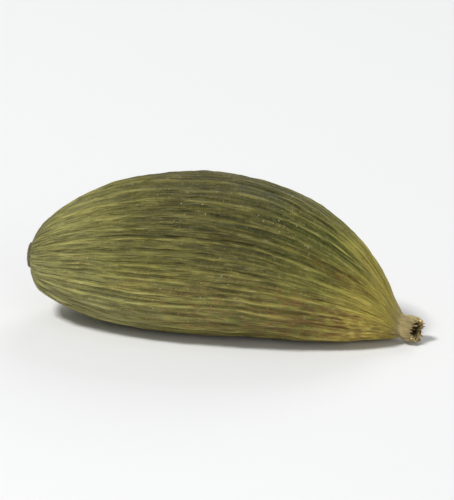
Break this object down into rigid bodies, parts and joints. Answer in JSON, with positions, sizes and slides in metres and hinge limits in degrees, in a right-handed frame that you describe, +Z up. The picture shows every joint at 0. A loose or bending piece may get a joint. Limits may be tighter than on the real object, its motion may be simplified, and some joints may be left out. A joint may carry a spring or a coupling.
{
  "type": "cardamom pod",
  "caption": "Closed dried green cardamom pod, a blunt three-sided ribbed seed capsule with a stalk scar and a small hollow beak, lying on one face.",
  "frame": {"origin": "middle of the pod's bounding box in plan, on the surface it lies on", "axes": "+X along the pod from the stalk scar to the beak, +Z up"},
  "size_m": [0.017, 0.0072, 0.0066],
  "materials": {
    "husk": "dry fibrous seed husk, matt with a faint waxy sheen, olive green going straw yellow and brown at the beak"
  },
  "bodies": {
    "root": {"pod": "husk"}
  },
  "joints": []
}
